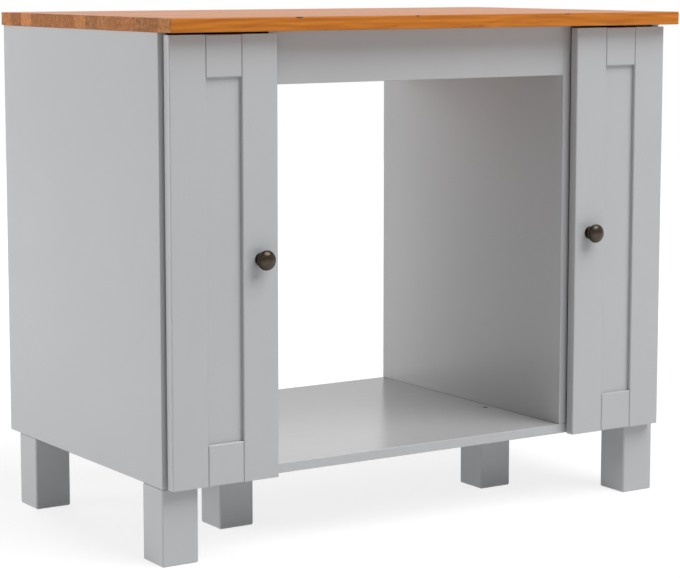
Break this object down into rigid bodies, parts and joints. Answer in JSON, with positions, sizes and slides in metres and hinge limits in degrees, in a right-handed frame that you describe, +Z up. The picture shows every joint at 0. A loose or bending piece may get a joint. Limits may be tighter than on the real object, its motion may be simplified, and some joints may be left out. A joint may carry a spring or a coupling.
{
  "type": "oven housing cabinet",
  "caption": "Free-standing oven housing cabinet: wooden worktop on a grey painted carcass with square legs, an open oven niche and a narrow framed door with a knob at each end.",
  "frame": {"origin": "on the room floor, under the middle of the worktop", "axes": "+X to the right seen from the front, +Y from the doors to the back, +Z up"},
  "size_m": [1, 0.6, 0.85],
  "materials": {
    "grey_paint": "satin cool grey paint on wood",
    "oiled_wood": "oiled honey-coloured edge-glued staves",
    "hardboard": "hardboard, lacquered grey inside and bare brown behind",
    "beech": "plain beech",
    "antique_bronze": "dark antique bronze lacquer",
    "nickel_plate": "nickel-plated pressed steel",
    "zinc_steel": "bright zinc plate",
    "black_steel": "black oxide",
    "clear_rubber": "clear soft stop"
  },
  "bodies": {
    "carcass": {"back_left_leg": "grey_paint", "back_right_leg": "grey_paint", "bracket_screws": "zinc_steel", "carcass_dowels": "beech", "floor_panel": "grey_paint", "front_apron": "grey_paint", "front_left_leg": "grey_paint", "front_right_leg": "grey_paint", "hinge_plate_screws": "zinc_steel", "inner_left_leg": "grey_paint", "inner_right_leg": "grey_paint", "left_back_panel": "hardboard", "left_hinge_arms": "nickel_plate", "left_hinge_plates": "nickel_plate", "left_partition": "grey_paint", "left_shelf": "grey_paint", "left_side_panel": "grey_paint", "leg_screws": "black_steel", "partition_screws": "zinc_steel", "rear_rail": "grey_paint", "right_back_panel": "hardboard", "right_hinge_arms": "nickel_plate", "right_hinge_plates": "nickel_plate", "right_partition": "grey_paint", "right_shelf": "grey_paint", "right_side_panel": "grey_paint", "shelf_pins": "zinc_steel", "worktop": "oiled_wood", "worktop_brackets": "zinc_steel"},
    "left_door": {"left_bottom_rail": "grey_paint", "left_cup_screws": "zinc_steel", "left_door_bumper": "clear_rubber", "left_door_panel": "grey_paint", "left_hinge_cups": "nickel_plate", "left_hinge_pins": "zinc_steel", "left_inner_stile": "grey_paint", "left_knob": "antique_bronze", "left_knob_screw": "zinc_steel", "left_outer_stile": "grey_paint", "left_top_rail": "grey_paint"},
    "right_door": {"right_bottom_rail": "grey_paint", "right_cup_screws": "zinc_steel", "right_door_bumper": "clear_rubber", "right_door_panel": "grey_paint", "right_hinge_cups": "nickel_plate", "right_hinge_pins": "zinc_steel", "right_inner_stile": "grey_paint", "right_knob": "antique_bronze", "right_knob_screw": "zinc_steel", "right_outer_stile": "grey_paint", "right_top_rail": "grey_paint"}
  },
  "joints": [
    {"name": "left_door_swing", "type": "hinge", "parent": "carcass", "child": "left_door", "pos_m": [-0.48, -0.2655, 0.474], "axis": [0, 0, -1], "range_deg": [0, 95]},
    {"name": "right_door_swing", "type": "hinge", "parent": "carcass", "child": "right_door", "pos_m": [0.48, -0.2655, 0.474], "axis": [0, 0, 1], "range_deg": [0, 95]}
  ]
}
